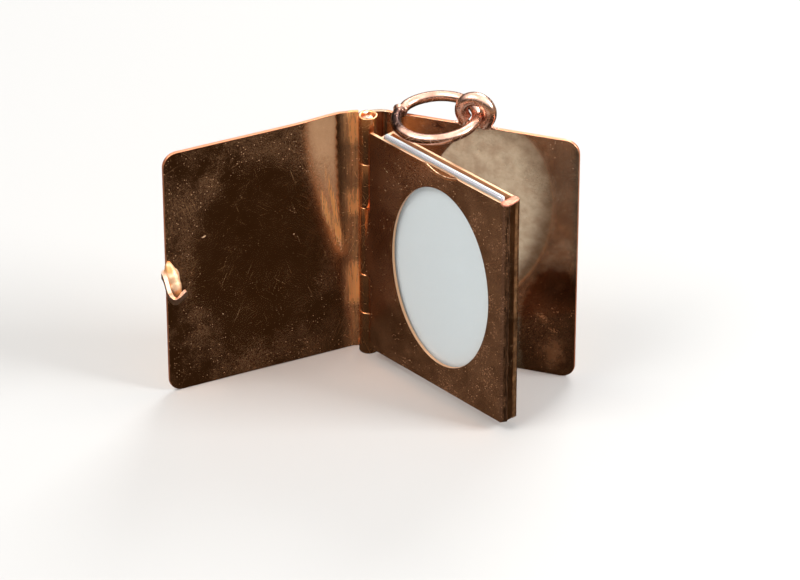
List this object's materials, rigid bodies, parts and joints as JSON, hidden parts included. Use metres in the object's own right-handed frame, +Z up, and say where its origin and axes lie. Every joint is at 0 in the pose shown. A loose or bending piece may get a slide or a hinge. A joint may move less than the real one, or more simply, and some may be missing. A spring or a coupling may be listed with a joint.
{
  "type": "book locket",
  "caption": "Small book-shaped locket of rose gold sheet, standing open: two covers and an oval-windowed picture page on one hinge pin, with an eye and a jump ring.",
  "frame": {"origin": "middle of the open locket's box, on the surface that it stands on", "axes": "+X runs along the back cover from the hinge to its fore edge, +Y points out of the back cover's outer face, +Z is up along the hinge pin"},
  "size_m": [0.0326, 0.0176, 0.0266],
  "materials": {
    "cover_gold": "polished, worn",
    "page_gold": "polished, tarnished",
    "pin_gold": "polished",
    "ring_gold": "polished",
    "clear_film": "clear",
    "pale_paper": "matt paper"
  },
  "bodies": {
    "back_leaf": {"back_cover": "cover_gold", "hinge_pin": "pin_gold"},
    "page_leaf": {"page_frame": "page_gold", "window_pane": "clear_film", "paper_insert": "pale_paper"},
    "front_leaf": {"front_cover": "cover_gold"},
    "ring": {"jump_ring": "ring_gold"}
  },
  "joints": [
    {"name": "page_hinge", "type": "hinge", "parent": "back_leaf", "child": "page_leaf", "pos_m": [-0.00196, 0.00493, 0.0118], "axis": [0, 0, -1], "range_deg": [-28.4, 31.6]},
    {"name": "front_hinge", "type": "hinge", "parent": "page_leaf", "child": "front_leaf", "pos_m": [-0.00196, 0.00493, 0.0118], "axis": [0, 0, -1], "range_deg": [-108.7, 26.3]},
    {"name": "ring_swing", "type": "hinge", "parent": "back_leaf", "child": "ring", "pos_m": [0.00731, 0.00612, 0.02467], "axis": [-0.3427, 0.9389, 0.0313], "range_deg": [0, 180]}
  ]
}
